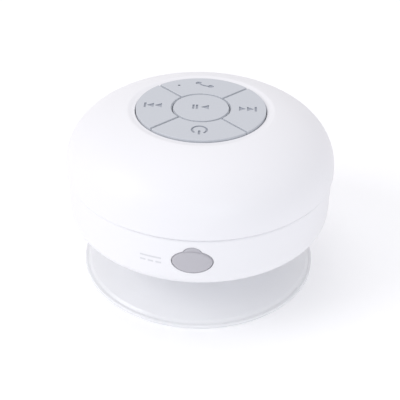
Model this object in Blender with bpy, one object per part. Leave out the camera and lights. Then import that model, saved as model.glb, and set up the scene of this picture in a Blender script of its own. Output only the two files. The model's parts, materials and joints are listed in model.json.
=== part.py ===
"""Shower speaker: a white domed speaker with five keys on top, a rubber charging plug at the front and a
large suction cup below. Metres, +Z up, the cup's rim on z = 0, the charging plug towards -Y."""

import math

import bmesh
import bpy
from mathutils import Matrix, Vector

# Driving dimensions
BODY_RADIUS = 0.0430
WAIST_Z = 0.0365
SEAM_Z = 0.0371
DOME_RISE = 0.02185
DOME_EXPONENT = 2.56
WALL = 0.0022
GAP = 0.0003
CUP_RADIUS = 0.0390

# Dome: the recess round the keys, the deck under them, and the bosses inside
RECESS_RADIUS = 0.0232
CHANNEL_RADIUS = 0.0212
CHANNEL_Z = 0.0562
KEY_WELL_RADIUS = 0.0206
DECK_TOP_Z = 0.0542
DECK_BOTTOM_Z = 0.0526
POST_HOLE_RADIUS = 0.0025
BOARD_BOSS_RADIUS, BOARD_PILOT_RADIUS, BOARD_PILOT_END_Z = 0.0022, 0.0011, 0.0516
CASE_BOSS_RADIUS, CASE_BOSS_TOP_Z = 0.0030, 0.0495
CASE_PILOT_RADIUS, CASE_PILOT_END_Z = 0.0014, 0.0460

# Keys: a cap, a flange under it that closes the grooves, and a post that works the switch
PAD_RADIUS = 0.0203
PAD_TOP_Z = 0.0569
PLAY_KEY_RADIUS = 0.00865
GROOVE_WIDTH = 0.0007
GROOVE_DEPTH = 0.0006
KEY_FLANGE = 0.0013
KEY_POST_RADIUS = 0.0020
KEY_POST_END_Z = 0.0506
OUTER_KEY_CENTRE = 0.0144
MIC_RADIUS_ON_PAD, MIC_ANGLE = 0.0165, 118.5
MIC_HOLE = 0.00045
KEY_ANGLES = {"play": None, "next": 0, "call": 90, "previous": 180, "power": 270}

# Lower casing
BASE_RADIUS = 0.0425
BASE_TOP_Z = 0.0367
BASE_CORNER = 0.0046
FLOOR_BOTTOM_Z = 0.0192
FLOOR_TOP_Z = 0.0212
SPIGOT_RADIUS = 0.0396
SPIGOT_INNER = 0.0380
SPIGOT_TOP_Z = 0.0392
TAPER_START_Z, TAPER_END_Z = 0.0322, 0.0344
COLLAR_RADIUS = 0.0120
COLLAR_BORE = 0.0093
COLLAR_END_Z = 0.0152
STUD_HOLE_RADIUS = 0.0045
SOUND_SLOTS = 16
SLOT_INNER, SLOT_OUTER, SLOT_WIDTH = 0.0129, 0.0179, 0.0018
CASE_POST_RADIUS, CASE_HOLE_RADIUS = 0.0032, 0.0015
COUNTERBORE_RADIUS, COUNTERBORE_END_Z = 0.0027, 0.0235
DRIVER_POST_RADIUS, DRIVER_POST_TOP_Z = 0.0019, 0.0229
DRIVER_PILOT_RADIUS, DRIVER_PILOT_START_Z = 0.0011, 0.0205

# Charging port, its plug, and the small board behind it
PORT_Z = 0.0291
PORT_HALF_WIDTH, PORT_HALF_HEIGHT = 0.0044, 0.0018
PLUG_HALF_WIDTH, PLUG_HALF_HEIGHT = 0.0060, 0.00385
PLUG_CLEARANCE = 0.0002
TAB_RADIUS, TAB_OFFSET = 0.0030, 0.0021
PLUG_FACE_RADIUS = 0.04295
POCKET_RADIUS = 0.0415
NOSE_HALF_WIDTH, NOSE_HALF_HEIGHT, NOSE_END_Y = 0.0041, 0.0015, 0.0399
TETHER_OFFSET = 0.0030
TETHER_RADIUS, TETHER_HOLE_RADIUS = 0.0006, 0.00095
TETHER_END_Y = 0.0302
ANCHOR_TIP_RADIUS, ANCHOR_RADIUS, ANCHOR_LENGTH = 0.0009, 0.0013, 0.0012
SOCKET_HALF_WIDTH, SOCKET_HALF_HEIGHT = 0.0038, 0.00135
SOCKET_FRONT_Y, SOCKET_BACK_Y = -0.0396, -0.0340
CHARGE_BOARD_HALF_WIDTH = 0.0080
CHARGE_BOARD_FRONT_Y, CHARGE_BOARD_BACK_Y = -0.0386, -0.0270
CHARGE_BOARD_BOTTOM_Z, CHARGE_BOARD_TOP_Z = PORT_Z + 0.00165, PORT_Z + 0.00285
CHARGE_POSTS = ((-0.0060, -0.0295, 0.0), (0.0060, -0.0295, 0.0))
CHARGE_POST_RADIUS, CHARGE_PILOT_RADIUS, CHARGE_PILOT_START_Z = 0.0016, 0.0009, PORT_Z - 0.0044

# Main board and what stands on it
BOARD_RADIUS = 0.0240
BOARD_BOTTOM_Z, BOARD_TOP_Z = 0.0464, 0.0480
SWITCH_HALF_WIDTH, SWITCH_TOP_Z = 0.0022, 0.0497
SWITCH_BORE_RADIUS, SWITCH_BORE_END_Z = 0.0013, 0.04865
PLUNGER_RADIUS, PLUNGER_END_Z = 0.00095, 0.04925
BOARD_BOSS_CIRCLE = 0.0210
BOARD_BOSS_ANGLES = (45, 165, 285)
CASE_SCREW_CIRCLE = 0.0340
CASE_SCREW_ANGLES = (90, 210, 330)
CASE_JOINT_Z = 0.0340
DRIVER_SCREW_CIRCLE = 0.0243

# Screws: the head's radius, the head from its top to the shank, the shank's radius, and the shank's end
CASE_SCREW = (0.0023, 0.0214, 0.0232, 0.0011, 0.0440)
DRIVER_SCREW = (0.0023, 0.0248, 0.0236, 0.0008, 0.0209)
BOARD_SCREW = (0.0018, 0.0449, 0.0461, 0.0008, 0.0513)
CHARGE_BOARD_SCREW = (0.0013, PORT_Z + 0.0040, PORT_Z + 0.00315, 0.0006, PORT_Z - 0.0029)
CUP_SCREW = (0.0030, 0.0247, 0.0230, 0.0012, 0.0125)

# Segments round a turned piece, and how far a cutter runs past what it cuts
FINE, MEDIUM, COARSE, SMALL = 40, 24, 16, 10
OVERSHOOT = 0.0010

FRONT = Matrix.Rotation(math.radians(90), 4, "X")


def clear_scene():
    for obj in list(bpy.data.objects):
        bpy.data.objects.remove(obj)


def material(name, colour, roughness, metallic=0.0, alpha=1.0):
    made = bpy.data.materials.new(name)
    made.use_nodes = True
    made.diffuse_color = (*colour, alpha)
    shader = made.node_tree.nodes["Principled BSDF"]
    shader.inputs["Base Color"].default_value = (*colour, 1.0)
    shader.inputs["Roughness"].default_value = roughness
    shader.inputs["Metallic"].default_value = metallic
    shader.inputs["Alpha"].default_value = alpha
    return made


def on_circle(radius, degrees, z=0.0):
    angle = math.radians(degrees)
    return (radius * math.cos(angle), radius * math.sin(angle), z)


def turned(profile, segments=COARSE, at=(0.0, 0.0, 0.0), turn=Matrix()):
    """Turns a closed (radius, height) outline, which may start and end on the axis, once round the axis."""
    shape = bmesh.new()
    points = [shape.verts.new((radius, 0.0, height)) for radius, height in profile]
    edges = [shape.edges.new(pair) for pair in zip(points, points[1:])]
    if profile[0][0] > 0.0:
        edges.append(shape.edges.new((points[-1], points[0])))
    bmesh.ops.spin(
        shape,
        geom=points + edges,
        cent=(0, 0, 0),
        axis=(0, 0, 1),
        angle=math.tau,
        steps=segments,
        use_merge=True,
    )
    bmesh.ops.remove_doubles(shape, verts=shape.verts, dist=1e-7)
    shape.transform(Matrix.Translation(at) @ turn)
    return shape


def prism(outline, low, high, at=(0.0, 0.0, 0.0), turn=Matrix()):
    """Extrudes a closed (x, y) outline from low to high along its own z."""
    shape = bmesh.new()
    face = shape.faces.new([shape.verts.new((x, y, low)) for x, y in outline])
    raised = bmesh.ops.extrude_face_region(shape, geom=[face])["geom"]
    corners = [item for item in raised if isinstance(item, bmesh.types.BMVert)]
    bmesh.ops.translate(shape, verts=corners, vec=(0, 0, high - low))
    shape.transform(Matrix.Translation(at) @ turn)
    return shape


def cylinder(radius, low, high, segments=COARSE, at=(0.0, 0.0, 0.0), turn=Matrix()):
    return turned([(0, low), (radius, low), (radius, high), (0, high)], segments, at, turn)


def ring(inner, outer, low, high, segments=MEDIUM):
    return turned([(inner, low), (outer, low), (outer, high), (inner, high)], segments)


def box(low, high):
    outline = [(low[0], low[1]), (high[0], low[1]), (high[0], high[1]), (low[0], high[1])]
    return prism(outline, low[2], high[2])


def stadium(half_width, half_height, steps=6):
    """A slot's outline: two straight sides and two round ends."""
    points = []
    for side, start in ((1, -90), (-1, 90)):
        for step in range(steps + 1):
            angle = math.radians(start + 180 * step / steps)
            points.append(
                (
                    side * (half_width - half_height) + half_height * math.cos(angle),
                    half_height * math.sin(angle),
                )
            )
    return points


def solid(name, shapes, finish, at=(0.0, 0.0, 0.0), parent=None):
    """One object from one or more closed shapes. `at` is its place in the world, and its shapes are drawn
    about its own origin."""
    merged = bmesh.new()
    for shape in shapes:
        bmesh.ops.recalc_face_normals(shape, faces=shape.faces)
        scrap = bpy.data.meshes.new("scrap")
        shape.to_mesh(scrap)
        merged.from_mesh(scrap)
        bpy.data.meshes.remove(scrap)
        shape.free()
    mesh = bpy.data.meshes.new(name)
    merged.to_mesh(mesh)
    merged.free()
    mesh.shade_smooth()
    mesh.set_sharp_from_angle(angle=math.radians(35))
    mesh.materials.append(finish)
    obj = bpy.data.objects.new(name, mesh)
    bpy.context.scene.collection.objects.link(obj)
    obj.parent = parent
    obj.location = Vector(at) - (parent.location if parent else Vector())
    return obj


def pivot(name, at=(0.0, 0.0, 0.0)):
    empty = bpy.data.objects.new(name, None)
    empty.location = at
    bpy.context.scene.collection.objects.link(empty)
    return empty


def combine(target, operation, helper):
    """Leaves a Boolean on target: UNION, DIFFERENCE or INTERSECT with a helper that isn't itself a piece."""
    helper.hide_render = True
    helper.display_type = "WIRE"
    modifier = target.modifiers.new(f"{operation.title()} {helper.name}", "BOOLEAN")
    modifier.operation = operation
    modifier.object = helper


def dome_at(t, inset=0.0):
    """A point of the dome's wall, t radians round its superellipse from the waist to the crown."""
    power = 2.0 / DOME_EXPONENT
    radius = (BODY_RADIUS - inset) * math.cos(t) ** power
    return radius, WAIST_Z + (DOME_RISE - inset) * math.sin(t) ** power


def dome_arc(last, steps, inset=0.0):
    """Points of the dome's wall from just above its waist up to t = last."""
    return [dome_at(last * step / steps, inset) for step in range(1, steps + 1)]


def corner_arc(centre, radius, steps=4):
    """A quarter circle in a turned outline, from its outer side down to its lowest point."""
    return [
        (
            centre[0] + radius * math.cos(math.pi / 2 * step / steps),
            centre[1] - radius * math.sin(math.pi / 2 * step / steps),
        )
        for step in range(steps + 1)
    ]


def key_centre(angle):
    return (0.0, 0.0, 0.0) if angle is None else on_circle(OUTER_KEY_CENTRE, angle)


def make_dome(finish, parent):
    rim_angle = math.acos((RECESS_RADIUS / BODY_RADIUS) ** (DOME_EXPONENT / 2))
    deck_rise = (DECK_BOTTOM_Z - WAIST_Z) / (DOME_RISE - WALL)
    deck_angle = math.asin(deck_rise ** (DOME_EXPONENT / 2))
    outside = [(BODY_RADIUS, SEAM_Z + GAP)] + dome_arc(rim_angle, 11)
    inside = dome_arc(deck_angle, 6, inset=WALL)
    shoulder = [
        ((RECESS_RADIUS + CHANNEL_RADIUS) / 2, (dome_at(rim_angle)[1] + CHANNEL_Z) / 2),
        (CHANNEL_RADIUS, CHANNEL_Z),
        (KEY_WELL_RADIUS, CHANNEL_Z),
        (KEY_WELL_RADIUS, DECK_TOP_Z),
        (0.0, DECK_TOP_Z),
    ]
    edge = [(BODY_RADIUS - WALL, SEAM_Z), (BODY_RADIUS - GAP, SEAM_Z)]
    profile = shoulder[::-1] + outside[::-1] + edge[::-1] + inside + [(0.0, DECK_BOTTOM_Z)]
    dome = solid("dome_shell", [turned(profile, FINE)], finish, parent=parent)

    bosses = []
    holes = []
    for angle in BOARD_BOSS_ANGLES:
        at = on_circle(BOARD_BOSS_CIRCLE, angle)
        bosses.append(cylinder(BOARD_BOSS_RADIUS, BOARD_TOP_Z + GAP, DECK_BOTTOM_Z + GAP, at=at))
        holes.append(cylinder(BOARD_PILOT_RADIUS, BOARD_TOP_Z, BOARD_PILOT_END_Z, SMALL, at))
    for angle in CASE_SCREW_ANGLES:
        at = on_circle(CASE_SCREW_CIRCLE, angle)
        bosses.append(cylinder(CASE_BOSS_RADIUS, CASE_JOINT_Z, CASE_BOSS_TOP_Z, at=at))
        holes.append(cylinder(CASE_PILOT_RADIUS, CASE_JOINT_Z - GAP, CASE_PILOT_END_Z, SMALL, at))
    through = (DECK_BOTTOM_Z - OVERSHOOT, DECK_TOP_Z + OVERSHOOT)
    for angle in KEY_ANGLES.values():
        holes.append(cylinder(POST_HOLE_RADIUS, *through, COARSE, key_centre(angle)))
    holes.append(cylinder(2 * MIC_HOLE, *through, SMALL, on_circle(MIC_RADIUS_ON_PAD, MIC_ANGLE)))
    combine(dome, "UNION", solid("dome_bosses", bosses, finish, parent=parent))
    combine(dome, "DIFFERENCE", solid("dome_holes", holes, finish, parent=parent))


def plug_outline(clearance=0.0, steps=36):
    """An oval with a round pull tab on its top edge, as a distance from its centre at each angle."""
    half_width, half_height = PLUG_HALF_WIDTH + clearance, PLUG_HALF_HEIGHT + clearance
    points = []
    for step in range(steps):
        angle = math.tau * step / steps
        across, up = math.cos(angle), math.sin(angle)
        reach = 1.0 / math.hypot(across / half_width, up / half_height)
        inside = (TAB_RADIUS + clearance) ** 2 - (TAB_OFFSET * across) ** 2
        if inside > 0.0 and up > 0.0:
            reach = max(reach, TAB_OFFSET * up + math.sqrt(inside))
        points.append((reach * across, reach * up))
    return points


def make_base(finish, parent):
    centre_z = FLOOR_BOTTOM_Z + BASE_CORNER
    corner_inside = BASE_CORNER - (FLOOR_TOP_Z - FLOOR_BOTTOM_Z)
    inner_wall = BASE_RADIUS - WALL
    profile = [
        (SPIGOT_INNER, SPIGOT_TOP_Z),
        (SPIGOT_RADIUS, SPIGOT_TOP_Z),
        (SPIGOT_RADIUS, BASE_TOP_Z),
        (BASE_RADIUS - GAP, BASE_TOP_Z),
        (BASE_RADIUS, BASE_TOP_Z - GAP),
        *corner_arc((BASE_RADIUS - BASE_CORNER, centre_z), BASE_CORNER),
        (COLLAR_RADIUS + 0.0008, FLOOR_BOTTOM_Z),
        (COLLAR_RADIUS, FLOOR_BOTTOM_Z - 0.0008),
        (COLLAR_RADIUS, COLLAR_END_Z),
        (COLLAR_BORE, COLLAR_END_Z),
        (COLLAR_BORE, FLOOR_BOTTOM_Z),
        (STUD_HOLE_RADIUS, FLOOR_BOTTOM_Z),
        (STUD_HOLE_RADIUS, FLOOR_TOP_Z),
        *corner_arc((inner_wall - corner_inside, centre_z), corner_inside, 3)[::-1],
        (inner_wall, TAPER_START_Z),
        (SPIGOT_INNER, TAPER_END_Z),
    ]
    base = solid("base_shell", [turned(profile, FINE)], finish, parent=parent)

    posts = []
    holes = []
    post_low = FLOOR_TOP_Z - GAP
    under_floor = FLOOR_BOTTOM_Z - OVERSHOOT
    driver_pilot_end = DRIVER_POST_TOP_Z + OVERSHOOT
    screw_hole = [
        (0, under_floor),
        (COUNTERBORE_RADIUS, under_floor),
        (COUNTERBORE_RADIUS, COUNTERBORE_END_Z),
        (CASE_HOLE_RADIUS, COUNTERBORE_END_Z),
        (CASE_HOLE_RADIUS, CASE_JOINT_Z + OVERSHOOT),
        (0, CASE_JOINT_Z + OVERSHOOT),
    ]
    for angle in CASE_SCREW_ANGLES:
        at = on_circle(CASE_SCREW_CIRCLE, angle)
        posts.append(cylinder(CASE_POST_RADIUS, post_low, CASE_JOINT_Z - GAP, at=at))
        holes.append(turned(screw_hole, COARSE, at))
        at = on_circle(DRIVER_SCREW_CIRCLE, angle)
        posts.append(cylinder(DRIVER_POST_RADIUS, post_low, DRIVER_POST_TOP_Z, SMALL, at))
        holes.append(cylinder(DRIVER_PILOT_RADIUS, DRIVER_PILOT_START_Z, driver_pilot_end, SMALL, at))
    for at in CHARGE_POSTS:
        posts.append(cylinder(CHARGE_POST_RADIUS, post_low, CHARGE_BOARD_BOTTOM_Z - GAP, SMALL, at))
        holes.append(cylinder(CHARGE_PILOT_RADIUS, CHARGE_PILOT_START_Z, CHARGE_BOARD_BOTTOM_Z, SMALL, at))
    slot_middle, slot_length = (SLOT_INNER + SLOT_OUTER) / 2, SLOT_OUTER - SLOT_INNER
    slot = [(slot_middle + x, y) for x, y in stadium(slot_length / 2, SLOT_WIDTH / 2, 2)]
    for step in range(SOUND_SLOTS):
        turn = Matrix.Rotation(math.tau * (step + 0.5) / SOUND_SLOTS, 4, "Z")
        holes.append(prism(slot, under_floor, FLOOR_TOP_Z + OVERSHOOT, turn=turn))
    combine(base, "UNION", solid("base_posts", posts, finish, parent=parent))
    combine(base, "DIFFERENCE", solid("base_holes", holes, finish, parent=parent))

    near, far = inner_wall - 0.0040, BASE_RADIUS + OVERSHOOT
    at = (0.0, 0.0, PORT_Z)
    pocket = solid("plug_pocket", [prism(plug_outline(PLUG_CLEARANCE), near, far, at, FRONT)], finish)
    core = solid("pocket_core", [cylinder(POCKET_RADIUS, COLLAR_END_Z, SPIGOT_TOP_Z, FINE)], finish)
    combine(pocket, "DIFFERENCE", core)
    combine(base, "DIFFERENCE", pocket)
    port = prism(stadium(PORT_HALF_WIDTH, PORT_HALF_HEIGHT), near, far, at, FRONT)
    tether = cylinder(TETHER_HOLE_RADIUS, near, far, SMALL, (0, 0, PORT_Z - TETHER_OFFSET), FRONT)
    combine(base, "DIFFERENCE", solid("port_holes", [port, tether], finish))


def make_seam_gasket(finish, parent):
    low, high = SEAM_Z + 0.0004, SEAM_Z + 0.0016
    gasket = ring(SPIGOT_RADIUS + GAP, BODY_RADIUS - WALL - GAP, low, high, FINE)
    solid("seam_gasket", [gasket], finish, parent=parent)


def key_sector(inner, outer, middle, half_gap, low, high):
    """A quarter of a ring whose straight sides keep half_gap from the lines between neighbouring keys."""

    def arc(radius, steps):
        reach = math.pi / 4 - math.asin(half_gap / radius)
        return [
            (
                radius * math.cos(middle + reach * (2 * step / steps - 1)),
                radius * math.sin(middle + reach * (2 * step / steps - 1)),
            )
            for step in range(steps + 1)
        ]

    return prism(arc(outer, 10) + arc(inner, 6)[::-1], low, high)


def make_keys(finish, plunger_finish):
    """Five keys, each with its switch plunger, on a pivot at the middle of its face."""
    groove_z = PAD_TOP_Z - GROOVE_DEPTH
    flange_z = groove_z - KEY_FLANGE
    flange_inner = PLAY_KEY_RADIUS + GROOVE_WIDTH / 2 + GAP / 2
    for word, angle in KEY_ANGLES.items():
        centre = key_centre(angle)
        axis = pivot(f"{word}_key_axis", (centre[0], centre[1], PAD_TOP_Z))
        if angle is None:
            cap = cylinder(PLAY_KEY_RADIUS, groove_z - GAP, PAD_TOP_Z, MEDIUM)
            flange = cylinder(flange_inner - GAP, flange_z, groove_z, MEDIUM)
        else:
            middle = math.radians(angle)
            cap_inner = PLAY_KEY_RADIUS + GROOVE_WIDTH
            cap = key_sector(cap_inner, PAD_RADIUS, middle, GROOVE_WIDTH / 2, groove_z - GAP, PAD_TOP_Z)
            flange = key_sector(flange_inner, PAD_RADIUS, middle, GAP / 2, flange_z, groove_z)
        key = solid(f"{word}_key", [cap], finish, parent=axis)
        combine(key, "UNION", solid(f"{word}_key_flange", [flange], finish, parent=axis))
        post = cylinder(KEY_POST_RADIUS, KEY_POST_END_Z, flange_z + GAP, SMALL)
        combine(key, "UNION", solid(f"{word}_key_post", [post], finish, centre, axis))
        if word == "call":
            mic = on_circle(MIC_RADIUS_ON_PAD, MIC_ANGLE)
            hole = cylinder(MIC_HOLE, flange_z - OVERSHOOT, PAD_TOP_Z + OVERSHOOT, SMALL)
            combine(key, "DIFFERENCE", solid("microphone_hole", [hole], finish, mic, axis))
        plunger = cylinder(PLUNGER_RADIUS, PLUNGER_END_Z, KEY_POST_END_Z - GAP, SMALL)
        solid(f"{word}_switch_plunger", [plunger], plunger_finish, centre, axis)


def make_switches(finish, parent):
    half = SWITCH_HALF_WIDTH
    for word, angle in KEY_ANGLES.items():
        can = box((-half, -half, BOARD_TOP_Z + GAP), (half, half, SWITCH_TOP_Z))
        switch = solid(f"{word}_switch", [can], finish, key_centre(angle), parent)
        bore = cylinder(SWITCH_BORE_RADIUS, SWITCH_BORE_END_Z, SWITCH_TOP_Z + OVERSHOOT, SMALL)
        combine(switch, "DIFFERENCE", solid(f"{word}_switch_bore", [bore], finish, key_centre(angle), parent))


def make_port_plug(finish):
    """The rubber plug: an oval flap with a pull tab, a nose that fills the port, and a tether with an anchor."""
    axis = pivot("port_plug_axis", (0.0, -PLUG_FACE_RADIUS, PORT_Z))
    at = (0.0, 0.0, PORT_Z)
    reach = PLUG_HALF_HEIGHT + TAB_OFFSET + TAB_RADIUS
    flap = prism(plug_outline(), NOSE_END_Y - OVERSHOOT, PLUG_FACE_RADIUS + OVERSHOOT, turn=FRONT)
    plug = solid("port_plug", [flap], finish, at, axis)
    outside = cylinder(PLUG_FACE_RADIUS, -reach, reach, FINE)
    combine(plug, "INTERSECT", solid("flap_outside", [outside], finish, at, axis))
    inside = cylinder(POCKET_RADIUS + GAP, -reach - OVERSHOOT, reach + OVERSHOOT, FINE)
    combine(plug, "DIFFERENCE", solid("flap_inside", [inside], finish, at, axis))
    middle = (POCKET_RADIUS + PLUG_FACE_RADIUS) / 2
    nose = prism(stadium(NOSE_HALF_WIDTH, NOSE_HALF_HEIGHT), NOSE_END_Y, middle, turn=FRONT)
    down = (0.0, 0.0, -TETHER_OFFSET)
    strand = cylinder(TETHER_RADIUS, TETHER_END_Y + ANCHOR_LENGTH / 2, middle, SMALL, down, FRONT)
    combine(plug, "UNION", solid("plug_nose_and_strand", [nose, strand], finish, at, axis))
    anchor_end = TETHER_END_Y + ANCHOR_LENGTH
    anchor = [
        (0, TETHER_END_Y),
        (ANCHOR_TIP_RADIUS, TETHER_END_Y),
        (ANCHOR_RADIUS, anchor_end),
        (0, anchor_end),
    ]
    combine(plug, "UNION", solid("plug_anchor", [turned(anchor, SMALL, down, FRONT)], finish, at, axis))


def screw(name, finish, at, sizes, parent):
    head_radius, head_top, head_end, shank_radius, shank_end = sizes
    profile = [
        (0, head_top),
        (head_radius, head_top),
        (head_radius, head_end),
        (shank_radius, head_end),
        (shank_radius, shank_end),
        (0, shank_end),
    ]
    solid(name, [turned(profile, SMALL)], finish, at, parent)


def make_screws(finish, parent):
    for number, angle in enumerate(CASE_SCREW_ANGLES, 1):
        screw(f"case_screw_{number}", finish, on_circle(CASE_SCREW_CIRCLE, angle), CASE_SCREW, parent)
        screw(f"driver_screw_{number}", finish, on_circle(DRIVER_SCREW_CIRCLE, angle), DRIVER_SCREW, parent)
    for number, angle in enumerate(BOARD_BOSS_ANGLES, 1):
        screw(f"board_screw_{number}", finish, on_circle(BOARD_BOSS_CIRCLE, angle), BOARD_SCREW, parent)
    for word, at in zip(("left", "right"), CHARGE_POSTS):
        screw(f"charge_board_screw_{word}", finish, at, CHARGE_BOARD_SCREW, parent)


def make_main_board(finishes, parent):
    disc = cylinder(BOARD_RADIUS, BOARD_BOTTOM_Z, BOARD_TOP_Z, MEDIUM)
    board = solid("main_board", [disc], finishes["board"], parent=parent)
    through = (BOARD_BOTTOM_Z - OVERSHOOT, BOARD_TOP_Z + OVERSHOOT)
    holes = [
        cylinder(BOARD_PILOT_RADIUS, *through, SMALL, on_circle(BOARD_BOSS_CIRCLE, angle))
        for angle in BOARD_BOSS_ANGLES
    ]
    combine(board, "DIFFERENCE", solid("board_holes", holes, finishes["board"], parent=parent))

    top = BOARD_TOP_Z + GAP
    for name, low, high in (
        ("bluetooth_module", (-0.0140, 0.0052, top), (-0.0050, 0.0120, 0.0500)),
        ("amplifier_chip", (0.0065, 0.0065, top), (0.0115, 0.0115, 0.0493)),
        ("charger_chip", (-0.0110, -0.0110, top), (-0.0070, -0.0070, 0.0493)),
    ):
        solid(name, [box(low, high)], finishes["chip"], parent=parent)
    inductor = cylinder(0.0022, top, 0.0503, SMALL, (0.0090, -0.0090, 0.0))
    solid("filter_inductor", [inductor], finishes["chip"], parent=parent)
    mic_at = on_circle(MIC_RADIUS_ON_PAD, MIC_ANGLE)
    solid("microphone", [cylinder(0.0020, top, 0.0500, COARSE)], finishes["steel"], mic_at, parent)


def make_battery(finishes, parent):
    """The cell under the board, and the foam pad that holds it off the board."""
    cell = box((-0.0140, -0.0110, 0.0409), (0.0140, 0.0110, 0.0453))
    solid("battery_pouch", [cell], finishes["foil"], parent=parent)
    pad = box((-0.0110, -0.0080, 0.0456), (0.0110, 0.0080, 0.0461))
    solid("battery_pad", [pad], finishes["foam"], parent=parent)


def make_charge_board(finishes, parent):
    low = (-CHARGE_BOARD_HALF_WIDTH, CHARGE_BOARD_FRONT_Y, CHARGE_BOARD_BOTTOM_Z)
    high = (CHARGE_BOARD_HALF_WIDTH, CHARGE_BOARD_BACK_Y, CHARGE_BOARD_TOP_Z)
    board = solid("charge_board", [box(low, high)], finishes["board"], parent=parent)
    through = (CHARGE_BOARD_BOTTOM_Z - OVERSHOOT, CHARGE_BOARD_TOP_Z + OVERSHOOT)
    holes = [cylinder(CHARGE_PILOT_RADIUS, *through, SMALL, at) for at in CHARGE_POSTS]
    combine(board, "DIFFERENCE", solid("charge_board_holes", holes, finishes["board"], parent=parent))

    low = (-SOCKET_HALF_WIDTH, SOCKET_FRONT_Y, PORT_Z - SOCKET_HALF_HEIGHT)
    high = (SOCKET_HALF_WIDTH, SOCKET_BACK_Y, PORT_Z + SOCKET_HALF_HEIGHT)
    socket = solid("usb_socket", [box(low, high)], finishes["steel"], parent=parent)
    wall = 0.0004
    mouth_outline = stadium(SOCKET_HALF_WIDTH - wall, SOCKET_HALF_HEIGHT - wall, 3)
    depth = 0.0042
    mouth_end = -SOCKET_FRONT_Y - depth
    mouth = prism(mouth_outline, mouth_end, -SOCKET_FRONT_Y + OVERSHOOT, (0, 0, PORT_Z), FRONT)
    combine(socket, "DIFFERENCE", solid("usb_mouth", [mouth], finishes["steel"], parent=parent))
    half_width, half_thickness = 0.0024, 0.0003
    low = (-half_width, SOCKET_FRONT_Y + 2 * GAP, PORT_Z - half_thickness)
    high = (half_width, -mouth_end - GAP, PORT_Z + half_thickness)
    solid("usb_tongue", [box(low, high)], finishes["chip"], parent=parent)


def make_driver(finishes, parent):
    """The loudspeaker, facing down: frame, magnet system, and the moving cone with its voice coil."""
    frame_profile = [
        (0.0186, 0.0221),
        (0.0220, 0.0221),
        (0.0220, 0.0232),
        (0.0208, 0.0232),
        (0.0172, 0.0317),
        (0.0065, 0.0317),
        (0.0065, 0.0309),
        (0.0166, 0.0309),
        (0.0196, 0.0238),
        (0.0186, 0.0232),
    ]
    frame = solid("speaker_frame", [turned(frame_profile, MEDIUM)], finishes["steel"], parent=parent)
    windows = []
    for step in range(4):
        window = box((0.0150, -0.0060, 0.0252), (0.0230, 0.0060, 0.0296))
        window.transform(Matrix.Rotation(math.tau * (step + 0.5) / 4, 4, "Z"))
        windows.append(window)
    combine(frame, "DIFFERENCE", solid("frame_windows", windows, finishes["steel"], parent=parent))
    solid("speaker_top_plate", [ring(0.0057, 0.0130, 0.0320, 0.0334)], finishes["steel"], parent=parent)
    solid("speaker_magnet", [ring(0.0075, 0.0130, 0.0337, 0.0368)], finishes["ferrite"], parent=parent)
    yoke = [(0, 0.0320), (0.0043, 0.0320), (0.0043, 0.0371), (0.0130, 0.0371), (0.0130, 0.0386), (0, 0.0386)]
    solid("speaker_yoke", [turned(yoke, MEDIUM)], finishes["steel"], parent=parent)
    solid("speaker_gasket", [ring(0.0188, 0.0218, 0.0215, 0.0218)], finishes["foam"], parent=parent)
    solid("sound_membrane", [ring(0.0125, 0.0183, 0.0215, 0.0218)], finishes["mesh"], parent=parent)
    surround = [(0.0154, 0.0233), (0.0162, 0.0243), (0.0170, 0.0247), (0.0178, 0.0243), (0.0183, 0.0235)]
    outline = surround + [(radius, z - 0.0004) for radius, z in reversed(surround)]
    solid("speaker_surround", [turned(outline, MEDIUM)], finishes["rubber"], parent=parent)
    solid("speaker_spider", [ring(0.0056, 0.0140, 0.0300, 0.0303)], finishes["mesh"], parent=parent)

    axis = pivot("driver_cone_axis", (0.0, 0.0, 0.0236))
    cone = [(0.0150, 0.0236), (0.0150, 0.0241), (0.0054, 0.0295), (0.0054, 0.0290)]
    solid("speaker_cone", [turned(cone, MEDIUM)], finishes["paper"], parent=axis)
    cap = [(0, 0.0273), (0.0025, 0.0276), (0.0046, 0.0284), (0.0049, 0.0289), (0.0046, 0.0289), (0, 0.0278)]
    solid("dust_cap", [turned(cap, COARSE)], finishes["paper"], parent=axis)
    solid("voice_coil", [ring(0.0046, 0.0051, 0.0293, 0.0355, COARSE)], finishes["copper"], parent=axis)


def smooth_route(points, spacing):
    """Points about `spacing` apart on a smooth curve through the given ones."""
    ends = [2 * points[0] - points[1], *points, 2 * points[-1] - points[-2]]
    route = []
    for before, start, end, after in zip(ends, ends[1:], ends[2:], ends[3:]):
        steps = max(2, round((end - start).length / spacing))
        for step in range(steps):
            t = step / steps
            route.append(
                0.5
                * (
                    2 * start
                    + (end - before) * t
                    + (2 * before - 5 * start + 4 * end - after) * t**2
                    + (3 * start - before - 3 * end + after) * t**3
                )
            )
    return route + [points[-1]]


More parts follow.
